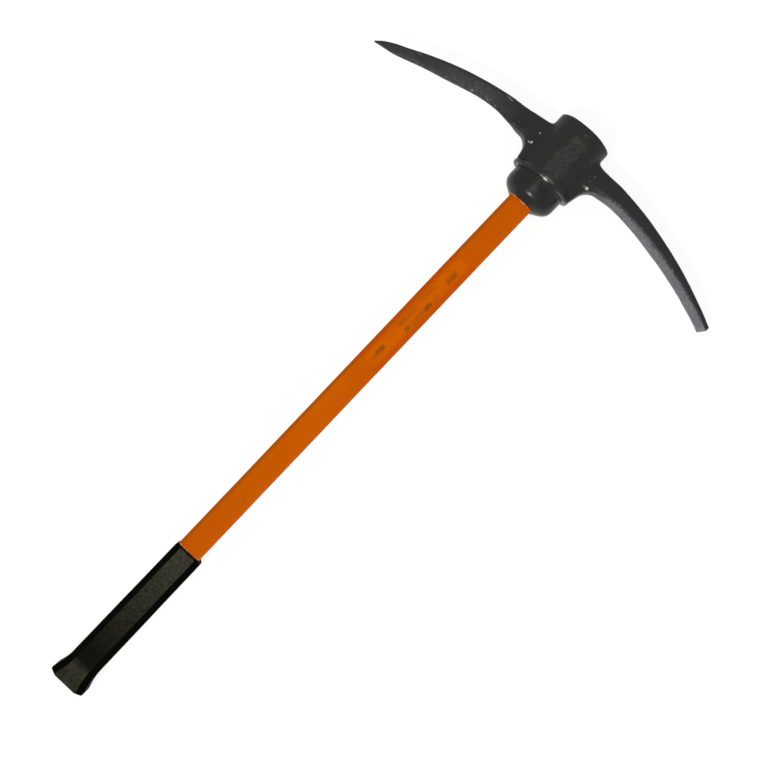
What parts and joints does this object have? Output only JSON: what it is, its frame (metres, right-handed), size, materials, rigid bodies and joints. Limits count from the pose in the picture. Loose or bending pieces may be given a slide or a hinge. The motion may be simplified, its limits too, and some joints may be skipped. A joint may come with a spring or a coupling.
{
  "type": "hand pick",
  "caption": "Double-ended digging pick: forged head with a point arm and a chisel arm, on a straight fibreglass handle with a collar and a flared rubber grip.",
  "frame": {"origin": "centre of the flat end of the grip's butt", "axes": "+X along the handle from the butt to the head, +Y towards the point arm, -Y towards the chisel arm, +Z square to the plane of the head"},
  "size_m": [0.9151, 0.5335, 0.0628],
  "materials": {
    "forged_steel": "satin",
    "resin": "satin",
    "dam_rubber": "matte",
    "collar_rubber": "satin",
    "fibreglass_core": "satin",
    "orange_jacket": "satin",
    "label_film": "satin",
    "grip_rubber": "satin"
  },
  "bodies": {
    "root": {"pick_head": "forged_steel", "eye_epoxy": "resin", "dam_ring": "dam_rubber", "head_collar": "collar_rubber", "core_rod": "fibreglass_core", "handle_jacket": "orange_jacket", "handle_label": "label_film", "grip_sleeve": "grip_rubber"}
  },
  "joints": []
}
